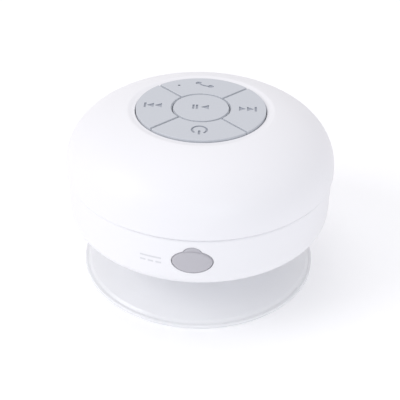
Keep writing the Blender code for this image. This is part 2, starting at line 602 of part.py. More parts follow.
def make_wires(finish, parent):
    """Three wire pairs, each along a hand-picked route in millimetres from one terminal to the other."""
    routes = {
        "battery_wires": [
            (14.6, 3, 43.1),
            (19, 3, 42.6),
            (24.5, 3.5, 44),
            (26.4, 3.5, 47.2),
            (24.2, 3.4, 49.6),
            (20, 3, 49.2),
        ],
        "speaker_wires": [
            (-20, -4, 49.2),
            (-24.6, -4.3, 49.6),
            (-27, -4.6, 46),
            (-27, -4.8, 38),
            (-24, -4.6, 31),
            (-21, -4.2, 28),
        ],
        "charge_wires": [
            (3, -26.3, 31.4),
            (3.5, -25.4, 34.6),
            (5, -26.5, 40),
            (8, -27, 45.5),
            (9.4, -25.6, 49.4),
            (10, -21, 49.2),
        ],
    }
    radius = 0.0006
    for name, points in routes.items():
        curve = bpy.data.curves.new(name, "CURVE")
        curve.dimensions = "3D"
        curve.bevel_depth = radius
        curve.bevel_resolution = 1
        curve.use_fill_caps = True
        route = smooth_route([Vector(point) / 1000 for point in points], 5 * radius)
        spline = curve.splines.new("POLY")
        spline.points.add(len(route) - 1)
        for point, place in zip(spline.points, route):
            point.co = (*place, 1.0)
        curve.materials.append(finish)
        obj = bpy.data.objects.new(name, curve)
        obj.parent = parent
        bpy.context.scene.collection.objects.link(obj)


def make_suction_cup(finishes):
    axis = pivot("suction_cup_axis")
    profile = [
        (0.0, 0.0062),
        (0.0080, 0.0060),
        (0.0200, 0.0048),
        (0.0300, 0.0026),
        (0.0364, 0.0),
        (CUP_RADIUS, 0.0),
        (CUP_RADIUS, 0.0010),
        (0.0376, 0.0018),
        (0.0330, 0.0034),
        (0.0240, 0.0066),
        (0.0150, 0.0102),
        (0.0100, 0.0128),
        (0.0089, 0.0146),
        (0.0089, 0.0189),
        (0.0040, 0.0189),
        (0.0040, 0.0216),
        (0.0015, 0.0216),
        (0.0015, 0.0120),
        (0.0, 0.0120),
    ]
    solid("suction_cup", [turned(profile, FINE)], finishes["cup"], parent=axis)
    solid("cup_washer", [ring(0.0016, 0.0065, 0.0219, 0.0227, COARSE)], finishes["steel"], parent=axis)
    screw("cup_screw", finishes["steel"], (0.0, 0.0, 0.0), CUP_SCREW, axis)


def main():
    clear_scene()
    finishes = {
        "white": material("white_shell", (0.90, 0.90, 0.92), 0.45),
        "key": material("key_silicone", (0.60, 0.62, 0.66), 0.60),
        "plug": material("plug_rubber", (0.48, 0.48, 0.53), 0.60),
        "cup": material("cup_silicone", (0.88, 0.88, 0.93), 0.25, alpha=0.75),
        "rubber": material("black_rubber", (0.03, 0.03, 0.03), 0.70),
        "steel": material("plated_steel", (0.62, 0.62, 0.63), 0.35, 1.0),
        "copper": material("copper_winding", (0.72, 0.34, 0.18), 0.40, 1.0),
        "ferrite": material("ferrite", (0.07, 0.07, 0.08), 0.60),
        "paper": material("cone_paper", (0.10, 0.10, 0.11), 0.80),
        "mesh": material("woven_mesh", (0.25, 0.22, 0.15), 0.85),
        "foam": material("foam", (0.08, 0.08, 0.08), 0.95),
        "board": material("circuit_board", (0.03, 0.22, 0.10), 0.45),
        "chip": material("chip_plastic", (0.03, 0.03, 0.04), 0.50),
        "foil": material("battery_foil", (0.70, 0.71, 0.74), 0.35, 0.6),
        "wire": material("wire_jacket", (0.55, 0.04, 0.03), 0.50),
    }
    housing = pivot("housing_frame")
    make_dome(finishes["white"], housing)
    make_base(finishes["white"], housing)
    make_seam_gasket(finishes["rubber"], housing)
    make_keys(finishes["key"], finishes["chip"])
    make_switches(finishes["steel"], housing)
    make_port_plug(finishes["plug"])
    make_screws(finishes["steel"], housing)
    make_main_board(finishes, housing)
    make_battery(finishes, housing)
    make_charge_board(finishes, housing)
    make_driver(finishes, housing)
    make_wires(finishes["wire"], housing)
    make_suction_cup(finishes)


main()
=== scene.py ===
"""Shower speaker: fine meshes, materials, light and camera. Metres, +Z up, the charging port at -Y."""

import json
import math

import bmesh
import bpy
from mathutils import Matrix, Vector


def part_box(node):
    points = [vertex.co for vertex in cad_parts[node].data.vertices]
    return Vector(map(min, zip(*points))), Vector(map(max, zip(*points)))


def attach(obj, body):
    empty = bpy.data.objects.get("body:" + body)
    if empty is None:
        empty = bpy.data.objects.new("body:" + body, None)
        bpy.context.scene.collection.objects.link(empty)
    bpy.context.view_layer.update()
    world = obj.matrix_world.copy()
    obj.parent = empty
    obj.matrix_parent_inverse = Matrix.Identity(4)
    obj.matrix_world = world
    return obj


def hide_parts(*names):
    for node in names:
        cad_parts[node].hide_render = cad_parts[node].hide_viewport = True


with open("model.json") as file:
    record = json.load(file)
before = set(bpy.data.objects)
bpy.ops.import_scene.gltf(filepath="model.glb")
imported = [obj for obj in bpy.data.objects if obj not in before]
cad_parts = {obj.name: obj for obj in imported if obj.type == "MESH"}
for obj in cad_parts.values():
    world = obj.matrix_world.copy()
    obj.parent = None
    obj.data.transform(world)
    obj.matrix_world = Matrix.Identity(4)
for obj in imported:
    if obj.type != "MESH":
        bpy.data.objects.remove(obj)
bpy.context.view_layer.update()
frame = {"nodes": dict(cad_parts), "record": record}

# How far the gasket's underside is above the seam
GASKET_RISE = 0.0004

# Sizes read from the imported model
BODY_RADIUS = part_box("dome_shell")[1].x
CASE_JOINT_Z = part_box("dome_shell")[0].z
SEAM_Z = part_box("seam_gasket")[0].z - GASKET_RISE
PAD_TOP_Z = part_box("play_key")[1].z
PAD_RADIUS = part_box("next_key")[1].x
KEY_POST_END_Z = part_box("play_key")[0].z
BASE_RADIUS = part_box("base_shell")[1].x
SPIGOT_TOP_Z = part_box("base_shell")[1].z
COLLAR_END_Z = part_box("base_shell")[0].z
CUP_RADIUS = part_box("suction_cup")[1].x
CUP_TOP_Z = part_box("suction_cup")[1].z
PORT_Z = (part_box("usb_socket")[0].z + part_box("usb_socket")[1].z) / 2
PLUG_FACE_RADIUS = -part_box("port_plug")[0].y
TETHER_END_Y = -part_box("port_plug")[1].y
MIC_CENTRE = (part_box("microphone")[0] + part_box("microphone")[1]) / 2
BOARD_TOP_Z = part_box("main_board")[1].z

# The rest of the design, with the CAD source's own values
GAP = 0.0003
WALL = 0.0022
WAIST_Z = 0.0365
DOME_RISE = 0.02185
DOME_EXPONENT = 2.56
RECESS_RADIUS = 0.0232
CHANNEL_RADIUS = 0.0212
CHANNEL_Z = 0.0562
KEY_WELL_RADIUS = 0.0206
DECK_TOP_Z, DECK_BOTTOM_Z = 0.0542, 0.0526
BOARD_BOSS_RADIUS, BOARD_PILOT_RADIUS, BOARD_PILOT_END_Z = 0.0022, 0.0011, 0.0516
CASE_BOSS_RADIUS, CASE_BOSS_TOP_Z = 0.0030, 0.0495
CASE_PILOT_RADIUS, CASE_PILOT_END_Z = 0.0014, 0.0460
PLAY_KEY_RADIUS = 0.00865
GROOVE_WIDTH, GROOVE_DEPTH = 0.0007, 0.0006
KEY_FLANGE = 0.0013
KEY_POST_RADIUS, POST_HOLE_RADIUS = 0.0020, 0.0025
OUTER_KEY_CENTRE = 0.0144
MIC_HOLE = 0.00045
KEY_ANGLES = {"play": None, "next": 0, "call": 90, "previous": 180, "power": 270}
BASE_TOP_Z = 0.0367
BASE_CORNER = 0.0046
FLOOR_BOTTOM_Z, FLOOR_TOP_Z = 0.0192, 0.0212
SPIGOT_RADIUS, SPIGOT_INNER = 0.0396, 0.0380
COLLAR_RADIUS, COLLAR_BORE = 0.0120, 0.0093
STUD_HOLE_RADIUS = 0.0045
SOUND_SLOTS = 16
SLOT_INNER, SLOT_OUTER, SLOT_WIDTH = 0.0129, 0.0179, 0.0018
CASE_POST_RADIUS, CASE_HOLE_RADIUS = 0.0032, 0.0015
COUNTERBORE_RADIUS, COUNTERBORE_END_Z = 0.0027, 0.0235
DRIVER_POST_RADIUS, DRIVER_POST_TOP_Z = 0.0019, 0.0229
DRIVER_PILOT_RADIUS, DRIVER_PILOT_START_Z = 0.0011, 0.0205
PORT_HALF_WIDTH, PORT_HALF_HEIGHT = 0.0044, 0.0018
PLUG_HALF_WIDTH, PLUG_HALF_HEIGHT = 0.0060, 0.00385
PLUG_CLEARANCE = 0.0002
TAB_RADIUS, TAB_OFFSET = 0.0030, 0.0021
POCKET_RADIUS = 0.0415
NOSE_HALF_WIDTH, NOSE_HALF_HEIGHT, NOSE_END_Y = 0.0041, 0.0015, 0.0399
TETHER_OFFSET = 0.0030
TETHER_RADIUS, TETHER_HOLE_RADIUS = 0.0006, 0.00095
ANCHOR_TIP_RADIUS, ANCHOR_RADIUS, ANCHOR_LENGTH = 0.0009, 0.0013, 0.0012
TAPER_START_Z, TAPER_END_Z = 0.0322, 0.0344
BOARD_BOSS_CIRCLE, CASE_SCREW_CIRCLE, DRIVER_SCREW_CIRCLE = 0.0210, 0.0340, 0.0243
BOARD_BOSS_ANGLES, CASE_SCREW_ANGLES = (45, 165, 285), (90, 210, 330)
CHARGE_POSTS = ((-0.0060, -0.0295, 0.0), (0.0060, -0.0295, 0.0))
CHARGE_BOARD_BOTTOM_Z = PORT_Z + 0.00165
CHARGE_POST_RADIUS, CHARGE_POST_TOP_Z = 0.0016, PORT_Z + 0.00135
CHARGE_PILOT_RADIUS, CHARGE_PILOT_START_Z = 0.0009, PORT_Z - 0.0044
OVERSHOOT = 0.001

# Detail that only this scene has
VERY_FINE, MEDIUM, SMALL = 256, 48, 24
LIP_ROUNDING, BASE_TOP_ROUNDING, WELL_ROUNDING = 0.00035, 0.0008, 0.0002
SPIGOT_ROUNDING, COLLAR_ROOT_ROUNDING, COLLAR_ROUNDING = 0.0003, 0.0010, 0.0004
TAB_STEP, FACE_INSET = 0.00050, 0.00014
KEY_EDGE, KEY_CORNER, FLANGE_CORNER = 0.00022, 0.0003, 0.0001
ICON_DEPTH = 0.00035
STROKE_HALF_WIDTH, SYMBOL_HALF_HEIGHT = 0.00034, 0.0014
CLOUD_SCALE, ROUGHNESS_SPREAD = 45.0, 0.06
FRONT = Matrix.Rotation(math.radians(90), 4, "X")


# Materials


def surface(name, colour, roughness, grain_size, bump, drift=0.03, **inputs):
    """A material whose colour and roughness drift a little over the surface, with a fine grain as bump."""
    made = bpy.data.materials.new(name)
    made.use_nodes = True
    tree = made.node_tree
    shader = tree.nodes["Principled BSDF"]
    place = tree.nodes.new("ShaderNodeTexCoord")
    cloud = tree.nodes.new("ShaderNodeTexNoise")
    cloud.inputs["Scale"].default_value = CLOUD_SCALE
    cloud.inputs["Detail"].default_value = 4.0
    grain = tree.nodes.new("ShaderNodeTexNoise")
    grain.inputs["Scale"].default_value = 1.0 / grain_size
    grain.inputs["Detail"].default_value = 3.0
    for noise in (cloud, grain):
        tree.links.new(place.outputs["Object"], noise.inputs["Vector"])

    tint = tree.nodes.new("ShaderNodeMix")
    tint.data_type = "RGBA"
    tint.inputs[6].default_value = (*(channel * (1 - drift) for channel in colour), 1.0)
    tint.inputs[7].default_value = (*(min(1.0, channel * (1 + drift)) for channel in colour), 1.0)
    tree.links.new(cloud.outputs["Fac"], tint.inputs["Factor"])
    tree.links.new(tint.outputs[2], shader.inputs["Base Color"])

    rough = tree.nodes.new("ShaderNodeMapRange")
    rough.inputs["To Min"].default_value = roughness - ROUGHNESS_SPREAD
    rough.inputs["To Max"].default_value = roughness + ROUGHNESS_SPREAD
    tree.links.new(grain.outputs["Fac"], rough.inputs["Value"])
    tree.links.new(rough.outputs["Result"], shader.inputs["Roughness"])

    bumps = tree.nodes.new("ShaderNodeBump")
    bumps.inputs["Strength"].default_value = 1.0
    bumps.inputs["Distance"].default_value = bump
    tree.links.new(grain.outputs["Fac"], bumps.inputs["Height"])
    tree.links.new(bumps.outputs["Normal"], shader.inputs["Normal"])
    for socket, value in inputs.items():
        shader.inputs[socket.replace("_", " ")].default_value = value
    return made


def banded(name, colour, other, roughness, period, axis="Z", **inputs):
    """A material with fine stripes, such as a coil's turns, a cloth's threads or a board's traces."""
    made = surface(name, colour, roughness, period, 0.00002, **inputs)
    tree = made.node_tree
    place = tree.nodes.new("ShaderNodeTexCoord")
    wave = tree.nodes.new("ShaderNodeTexWave")
    wave.bands_direction = axis
    wave.inputs["Scale"].default_value = 0.314 / period
    wave.inputs["Distortion"].default_value = 0.4
    mix = tree.nodes.new("ShaderNodeMix")
    mix.data_type = "RGBA"
    mix.inputs[6].default_value = (*colour, 1.0)
    mix.inputs[7].default_value = (*other, 1.0)
    tree.links.new(place.outputs["Object"], wave.inputs["Vector"])
    tree.links.new(wave.outputs["Fac"], mix.inputs["Factor"])
    tree.links.new(mix.outputs[2], tree.nodes["Principled BSDF"].inputs["Base Color"])
    return made


def make_materials():
    finishes = {
        "white_shell": surface("soft_touch_white", (0.865, 0.86, 0.885), 0.46, 0.00035, 0.000006, 0.008),
        "key_silicone": surface("key_silicone", (0.585, 0.605, 0.645), 0.62, 0.00030, 0.000010, 0.015),
        # A darker grey than the keys for the faces inside the sunk symbols and the mic hole: painted shade in
        # these recesses, as the keys are one grey throughout.
        "recess_shade": surface("key_recess_shade", (0.43, 0.45, 0.50), 0.66, 0.00030, 0.000010, 0.015),
        "plug_rubber": surface("plug_rubber", (0.49, 0.48, 0.515), 0.58, 0.00028, 0.000012, 0.02),
        "mark": surface("printed_mark", (0.70, 0.70, 0.73), 0.55, 0.00030, 0.000004, 0.02),
        "black_rubber": surface("black_rubber", (0.03, 0.03, 0.03), 0.70, 0.0003, 0.00001, 0.2),
        "ferrite": surface("ferrite", (0.06, 0.06, 0.065), 0.62, 0.0004, 0.00002, 0.2),
        "cone_paper": surface("cone_paper", (0.09, 0.09, 0.10), 0.82, 0.0005, 0.00003, 0.25),
        "foam": surface("foam", (0.07, 0.07, 0.07), 0.95, 0.0006, 0.00008, 0.3),
        "chip_plastic": surface("chip_plastic", (0.03, 0.03, 0.035), 0.50, 0.0002, 0.000005, 0.2),
        "wire_jacket": surface("wire_jacket", (0.55, 0.04, 0.03), 0.45, 0.0008, 0.00001, 0.05),
    }
    finishes["cup_silicone"] = surface(
        "cup_vinyl",
        (0.945, 0.95, 0.968),
        0.24,
        0.0020,
        0.00002,
        0.01,
        Transmission_Weight=0.10,
        IOR=1.42,
        Coat_Weight=0.3,
        Coat_Roughness=0.15,
    )
    finishes["plated_steel"] = surface(
        "plated_steel", (0.62, 0.62, 0.63), 0.32, 0.0004, 0.000004, 0.05, Metallic=1.0
    )
    finishes["battery_foil"] = surface(
        "battery_foil", (0.70, 0.71, 0.74), 0.38, 0.0015, 0.00003, 0.05, Metallic=0.7
    )
    finishes["copper_winding"] = banded(
        "copper_winding", (0.72, 0.34, 0.18), (0.40, 0.16, 0.08), 0.38, 0.0002, Metallic=0.9
    )
    finishes["woven_mesh"] = banded(
        "woven_mesh", (0.30, 0.27, 0.20), (0.10, 0.09, 0.07), 0.85, 0.0004, "X"
    )
    finishes["circuit_board"] = banded(
        "circuit_board", (0.02, 0.20, 0.08), (0.04, 0.28, 0.12), 0.40, 0.0012, "DIAGONAL"
    )
    return finishes


# Mesh tools


def on_circle(radius, degrees, z=0.0):
    angle = math.radians(degrees)
    return (radius * math.cos(angle), radius * math.sin(angle), z)


def key_centre(angle):
    """The middle of the key at an angle round the pad, or of the round middle key, which has none."""
    return (0.0, 0.0, 0.0) if angle is None else on_circle(OUTER_KEY_CENTRE, angle)


def rounded(corners, closed=True, steps=5):
    """An outline whose corners, each (x, y, radius), are replaced by arcs that meet their sides smoothly."""
    points = []
    last = len(corners) - 1
    for index, (x, y, radius) in enumerate(corners):
        here = Vector((x, y))
        if not radius or (not closed and index in (0, last)):
            points.append((x, y))
            continue
        back = (Vector(corners[index - 1][:2]) - here).normalized()
        ahead = (Vector(corners[(index + 1) % len(corners)][:2]) - here).normalized()
        half = back.angle(ahead) / 2
        centre = here + (back + ahead).normalized() * radius / math.sin(half)
        start = here + back * radius / math.tan(half) - centre
        end = here + ahead * radius / math.tan(half) - centre
        sweep = start.angle_signed(end)
        for step in range(steps + 1):
            spoke = start.copy()
            spoke.rotate(Matrix.Rotation(-sweep * step / steps, 2))
            points.append(tuple(centre + spoke))
    return points


def turned(profile, segments=MEDIUM, at=(0.0, 0.0, 0.0), turn=Matrix()):
    """Turns a closed (radius, height) outline, which may start and end on the axis, once round the axis."""
    shape = bmesh.new()
    points = [shape.verts.new((radius, 0.0, height)) for radius, height in profile]
    edges = [shape.edges.new(pair) for pair in zip(points, points[1:])]
    if profile[0][0] > 0.0:
        edges.append(shape.edges.new((points[-1], points[0])))
    bmesh.ops.spin(
        shape,
        geom=points + edges,
        cent=(0, 0, 0),
        axis=(0, 0, 1),
        angle=math.tau,
        steps=segments,
        use_merge=True,
    )
    bmesh.ops.remove_doubles(shape, verts=shape.verts, dist=1e-7)
    shape.transform(Matrix.Translation(at) @ turn)
    return shape


def prism(outline, low, high, at=(0.0, 0.0, 0.0), turn=Matrix()):
    """Extrudes a closed (x, y) outline from low to high along its own z."""
    shape = bmesh.new()
    face = shape.faces.new([shape.verts.new((x, y, low)) for x, y in outline])
    raised = bmesh.ops.extrude_face_region(shape, geom=[face])["geom"]
    corners = [item for item in raised if isinstance(item, bmesh.types.BMVert)]
    bmesh.ops.translate(shape, verts=corners, vec=(0, 0, high - low))
    shape.transform(Matrix.Translation(at) @ turn)
    return shape


def cylinder(radius, low, high, segments=MEDIUM, at=(0.0, 0.0, 0.0), turn=Matrix()):
    return turned([(0, low), (radius, low), (radius, high), (0, high)], segments, at, turn)


def cylinders(circle, angles, radius, low, high):
    """Upright cylinders at the given angles round a circle about the speaker's axis."""
    return [cylinder(radius, low, high, at=on_circle(circle, angle)) for angle in angles]


def stadium(half_width, half_height, steps=12):
    """A slot's outline: two straight sides and two round ends."""
    points = []
    for side, start in ((1, -90), (-1, 90)):
        for step in range(steps + 1):
            angle = math.radians(start + 180 * step / steps)
            across = side * (half_width - half_height) + half_height * math.cos(angle)
            points.append((across, half_height * math.sin(angle)))
    return points


def solid(name, shapes, finish):
    """One object from one or more closed shapes."""
    merged = bmesh.new()
    for shape in shapes:
        bmesh.ops.recalc_face_normals(shape, faces=shape.faces)
        scrap = bpy.data.meshes.new("scrap")
        shape.to_mesh(scrap)
        merged.from_mesh(scrap)
        bpy.data.meshes.remove(scrap)
        shape.free()
    mesh = bpy.data.meshes.new(name)
    merged.to_mesh(mesh)
    merged.free()
    mesh.materials.append(finish)
    obj = bpy.data.objects.new(name, mesh)
    bpy.context.scene.collection.objects.link(obj)
    return obj


def combine(target, operation, *helpers):
    """Joins, cuts or clips target with each helper in turn, and keeps the cut faces' own material."""
    for helper in helpers:
        modifier = target.modifiers.new("Combine", "BOOLEAN")
        modifier.operation = operation
        modifier.object = helper
        modifier.material_mode = "TRANSFER"
        bake_modifiers(target)
        bpy.data.objects.remove(helper)


def bake_modifiers(obj):
    bpy.context.view_layer.update()
    graph = bpy.context.evaluated_depsgraph_get()
    mesh = bpy.data.meshes.new_from_object(obj.evaluated_get(graph))
    obj.modifiers.clear()
    obj.data = mesh


def shade(obj, degrees=32, weighted=False):
    obj.data.shade_smooth()
    obj.data.set_sharp_from_angle(angle=math.radians(degrees))
    if weighted:
        modifier = obj.modifiers.new("Weighted normals", "WEIGHTED_NORMAL")
        modifier.keep_sharp = True
        bake_modifiers(obj)


def round_edges(obj, width, degrees=50, segments=4):
    bevel = obj.modifiers.new("Rounded edges", "BEVEL")
    bevel.width = width
    bevel.segments = segments
    bevel.limit_method = "ANGLE"
    bevel.angle_limit = math.radians(degrees)
    bevel.use_clamp_overlap = True
    bake_modifiers(obj)


def place(obj, body, slot, *nodes):
    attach(obj, body)
    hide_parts(*nodes)


# The housing


def dome_at(t, inset=0.0):
    """A point of the dome's wall, t radians round its superellipse from the waist to the crown."""
    power = 2.0 / DOME_EXPONENT
    radius = (BODY_RADIUS - inset) * math.cos(t) ** power
    return radius, WAIST_Z + (DOME_RISE - inset) * math.sin(t) ** power


def dome_arc(last, steps, inset=0.0):
    """Points of the dome's wall above the seam, spaced so that they lie about evenly along it."""
    points = [dome_at(last * (step / steps) ** 1.5, inset) for step in range(1, steps + 1)]
    return [(radius, height) for radius, height in points if height > SEAM_Z + GAP]


def recess_curve(edge, slope, steps=14):
    """The soft step from the dome's crown down into the channel round the keys."""
    points = []
    for step in range(1, steps + 1):
        s = step / steps
        rise = s * (1 - s) ** 2 * slope * (RECESS_RADIUS - CHANNEL_RADIUS)
        blend = s * s * (3 - 2 * s)
        radius = RECESS_RADIUS + (CHANNEL_RADIUS - RECESS_RADIUS) * s
        points.append((radius, edge + (CHANNEL_Z - edge) * blend + rise))
    return points


def make_dome(finish):
    """The upper shell: the dome, the well for the keys, and bosses for the board and the casing."""
    rim_angle = math.acos((RECESS_RADIUS / BODY_RADIUS) ** (DOME_EXPONENT / 2))
    deck_rise = (DECK_BOTTOM_Z - WAIST_Z) / (DOME_RISE - WALL)
    deck_angle = math.asin(deck_rise ** (DOME_EXPONENT / 2))
    outside = dome_arc(rim_angle, 72)
    (r0, z0), (r1, z1) = outside[-2:]
    crown = recess_curve(z1, (z1 - z0) / (r0 - r1))
    well = rounded(
        [(*crown[-1], 0), (KEY_WELL_RADIUS, CHANNEL_Z, WELL_ROUNDING), (KEY_WELL_RADIUS, DECK_TOP_Z, 0)],
        closed=False,
    )
    lip = rounded(
        [(*outside[0], 0), (BODY_RADIUS, SEAM_Z, LIP_ROUNDING), (BODY_RADIUS - WALL, SEAM_Z, 0)],
        closed=False,
    )
    inside = dome_arc(deck_angle, 24, inset=WALL)
    profile = [(0.0, DECK_TOP_Z)] + well[:0:-1] + crown[::-1] + outside[::-1] + lip[1:] + inside
    dome = solid("dome", [turned(profile + [(0.0, DECK_BOTTOM_Z)], VERY_FINE)], finish)
    board, case = (BOARD_BOSS_CIRCLE, BOARD_BOSS_ANGLES), (CASE_SCREW_CIRCLE, CASE_SCREW_ANGLES)
    bosses = cylinders(*board, BOARD_BOSS_RADIUS, BOARD_TOP_Z + GAP, DECK_BOTTOM_Z + GAP)
    bosses += cylinders(*case, CASE_BOSS_RADIUS, CASE_JOINT_Z, CASE_BOSS_TOP_Z)
    holes = cylinders(*board, BOARD_PILOT_RADIUS, BOARD_TOP_Z, BOARD_PILOT_END_Z)
    holes += cylinders(*case, CASE_PILOT_RADIUS, CASE_JOINT_Z - GAP, CASE_PILOT_END_Z)
    through = (DECK_BOTTOM_Z - OVERSHOOT, DECK_TOP_Z + OVERSHOOT)
    for angle in KEY_ANGLES.values():
        holes.append(cylinder(POST_HOLE_RADIUS, *through, at=key_centre(angle)))
    holes.append(cylinder(2 * MIC_HOLE, *through, at=(MIC_CENTRE.x, MIC_CENTRE.y, 0.0)))
    combine(dome, "UNION", solid("dome_bosses", bosses, finish))
    combine(dome, "DIFFERENCE", solid("dome_holes", holes, finish))
    shade(dome)
    place(dome, "housing", "white_shell", "dome_shell")


def plug_outline(clearance=0.0, steps=96):
    """An oval with a round pull tab on its top edge, as a distance from its centre at each angle."""
    half_width, half_height = PLUG_HALF_WIDTH + clearance, PLUG_HALF_HEIGHT + clearance
    points = []
    for step in range(steps):
        angle = math.tau * step / steps
        across, up = math.cos(angle), math.sin(angle)
        reach = 1.0 / math.hypot(across / half_width, up / half_height)
        inside = (TAB_RADIUS + clearance) ** 2 - (TAB_OFFSET * across) ** 2
        if inside > 0.0 and up > 0.0:
            reach = max(reach, TAB_OFFSET * up + math.sqrt(inside))
        points.append((reach * across, reach * up))
    return points


def make_casing(finish):
    """The lower shell: its wall and floor, collar, posts, sound slots, and the plug's pocket and port."""
    inner_wall = BASE_RADIUS - WALL
    corner_inside = BASE_CORNER - (FLOOR_TOP_Z - FLOOR_BOTTOM_Z)
    profile = rounded(
        [
            (SPIGOT_INNER, SPIGOT_TOP_Z, SPIGOT_ROUNDING),
            (SPIGOT_RADIUS, SPIGOT_TOP_Z, SPIGOT_ROUNDING),
            (SPIGOT_RADIUS, BASE_TOP_Z, 0),
            (BASE_RADIUS, BASE_TOP_Z, BASE_TOP_ROUNDING),
            (BASE_RADIUS, FLOOR_BOTTOM_Z, BASE_CORNER),
            (COLLAR_RADIUS, FLOOR_BOTTOM_Z, COLLAR_ROOT_ROUNDING),
            (COLLAR_RADIUS, COLLAR_END_Z, COLLAR_ROUNDING),
            (COLLAR_BORE, COLLAR_END_Z, COLLAR_ROUNDING),
            (COLLAR_BORE, FLOOR_BOTTOM_Z, 0),
            (STUD_HOLE_RADIUS, FLOOR_BOTTOM_Z, 0),
            (STUD_HOLE_RADIUS, FLOOR_TOP_Z, 0),
            (inner_wall, FLOOR_TOP_Z, corner_inside),
            (inner_wall, TAPER_START_Z, 0),
            (SPIGOT_INNER, TAPER_END_Z, 0),
        ],
        steps=14,
    )
    casing = solid("casing", [turned(profile, VERY_FINE)], finish)

    case, driver = (CASE_SCREW_CIRCLE, CASE_SCREW_ANGLES), (DRIVER_SCREW_CIRCLE, CASE_SCREW_ANGLES)
    foot = FLOOR_TOP_Z - GAP
    posts = cylinders(*case, CASE_POST_RADIUS, foot, CASE_JOINT_Z - GAP)
    posts += cylinders(*driver, DRIVER_POST_RADIUS, foot, DRIVER_POST_TOP_Z)
    posts += [cylinder(CHARGE_POST_RADIUS, foot, CHARGE_POST_TOP_Z, at=centre) for centre in CHARGE_POSTS]
    combine(casing, "UNION", solid("casing_posts", posts, finish))

    bore_start, bore_end, driver_pilot_end = 0.018, 0.035, 0.0240
    screw_hole = [
        (0, bore_start),
        (COUNTERBORE_RADIUS, bore_start),
        (COUNTERBORE_RADIUS, COUNTERBORE_END_Z),
        (CASE_HOLE_RADIUS, COUNTERBORE_END_Z),
        (CASE_HOLE_RADIUS, bore_end),
        (0, bore_end),
    ]
    holes = [turned(screw_hole, at=on_circle(CASE_SCREW_CIRCLE, angle)) for angle in CASE_SCREW_ANGLES]
    holes += cylinders(*driver, DRIVER_PILOT_RADIUS, DRIVER_PILOT_START_Z, driver_pilot_end)
    holes += [
        cylinder(CHARGE_PILOT_RADIUS, CHARGE_PILOT_START_Z, CHARGE_BOARD_BOTTOM_Z, at=centre)
        for centre in CHARGE_POSTS
    ]
    middle = (SLOT_INNER + SLOT_OUTER) / 2
    slot = [(middle + x, y) for x, y in stadium((SLOT_OUTER - SLOT_INNER) / 2, SLOT_WIDTH / 2, 6)]
    for step in range(SOUND_SLOTS):
        turn = Matrix.Rotation(math.tau * (step + 0.5) / SOUND_SLOTS, 4, "Z")
        holes.append(prism(slot, FLOOR_BOTTOM_Z - OVERSHOOT, FLOOR_TOP_Z + OVERSHOOT, turn=turn))
    combine(casing, "DIFFERENCE", solid("casing_holes", holes, finish))

    cut_depth = 0.0040
    near, far = inner_wall - cut_depth, BASE_RADIUS + OVERSHOOT
    at = (0.0, 0.0, PORT_Z)
    pocket = solid("plug_pocket", [prism(plug_outline(PLUG_CLEARANCE), near, far, at, FRONT)], finish)
    core = cylinder(POCKET_RADIUS, COLLAR_END_Z, SPIGOT_TOP_Z, VERY_FINE)
    combine(pocket, "DIFFERENCE", solid("pocket_core", [core], finish))
    port = prism(stadium(PORT_HALF_WIDTH, PORT_HALF_HEIGHT), near, far, at, FRONT)
    tether = cylinder(TETHER_HOLE_RADIUS, near, far, SMALL, (0, 0, PORT_Z - TETHER_OFFSET), FRONT)
    combine(casing, "DIFFERENCE", pocket, solid("port_holes", [port, tether], finish))
    shade(casing)
    place(casing, "housing", "white_shell", "base_shell")


# The keys


def key_outline(inner, outer, middle, half_gap, corner):
    """A quarter ring with rounded corners, whose straight sides keep half_gap from the lines between keys."""

    def arc(radius, steps):
        reach = math.pi / 4 - math.asin(half_gap / radius)
        turns = [middle + reach * (2 * step / steps - 1) for step in range(steps + 1)]
        ends = (0, steps)
        return [
            (radius * math.cos(turn), radius * math.sin(turn), corner if step in ends else 0)
            for step, turn in enumerate(turns)
        ]

    return rounded(arc(outer, 36) + arc(inner, 16)[::-1])


def circle_outline(radius, steps=96):
    return [on_circle(radius, 360 * step / steps)[:2] for step in range(steps)]


def stroke(path, widths):
    """The outline of a line drawn along path, with its half width at each point."""
    left, right = [], []
    for index, (point, width) in enumerate(zip(path, widths)):
        before = Vector(path[max(0, index - 1)])
        after = Vector(path[min(len(path) - 1, index + 1)])
        along = (after - before).normalized()
        side = Vector((-along.y, along.x)) * width
        left.append(tuple(Vector(point) + side))
        right.append(tuple(Vector(point) - side))
    return left + right[::-1]


def triangle(tip, base, half_height):
    return [(tip, 0.0), (base, half_height), (base, -half_height)]


def bar(centre, half_width, half_height):
    low, high = centre - half_width, centre + half_width
    return [(low, -half_height), (high, -half_height), (high, half_height), (low, half_height)]


def power_symbol():
    """A ring that is open towards the front, and a bar through the gap."""
    radius, half_opening, steps = 0.0022, 38, 28
    first, sweep = -90 + half_opening, 360 - 2 * half_opening
    turns = [math.radians(first + sweep * step / steps) for step in range(steps + 1)]
    path = [(radius * math.cos(turn), radius * math.sin(turn)) for turn in turns]
    ring = stroke(path, [STROKE_HALF_WIDTH] * len(path))
    near, far, side = -0.0004, -0.0028, STROKE_HALF_WIDTH
    return [ring, [(-side, far), (side, far), (side, near), (-side, near)]]


def handset_symbol():
    """A telephone receiver: a curved grip with a thicker piece at each end."""
    start, bend, end = Vector((-0.0026, 0.0016)), Vector((-0.0014, -0.0018)), Vector((0.0028, -0.0014))
    end_share, end_bulge = 0.22, 0.00070
    path, widths, steps = [], [], 20
    for step in range(steps + 1):
        s = step / steps
        path.append(tuple(start * (1 - s) ** 2 + bend * 2 * s * (1 - s) + end * s * s))
        swell = max(0.0, 1 - min(s, 1 - s) / end_share)
        bulge = math.sin(math.pi * min(1.0, swell * 1.15) ** 0.8) ** 0.5
        widths.append(STROKE_HALF_WIDTH + end_bulge * bulge)
    return [stroke(path, widths)]


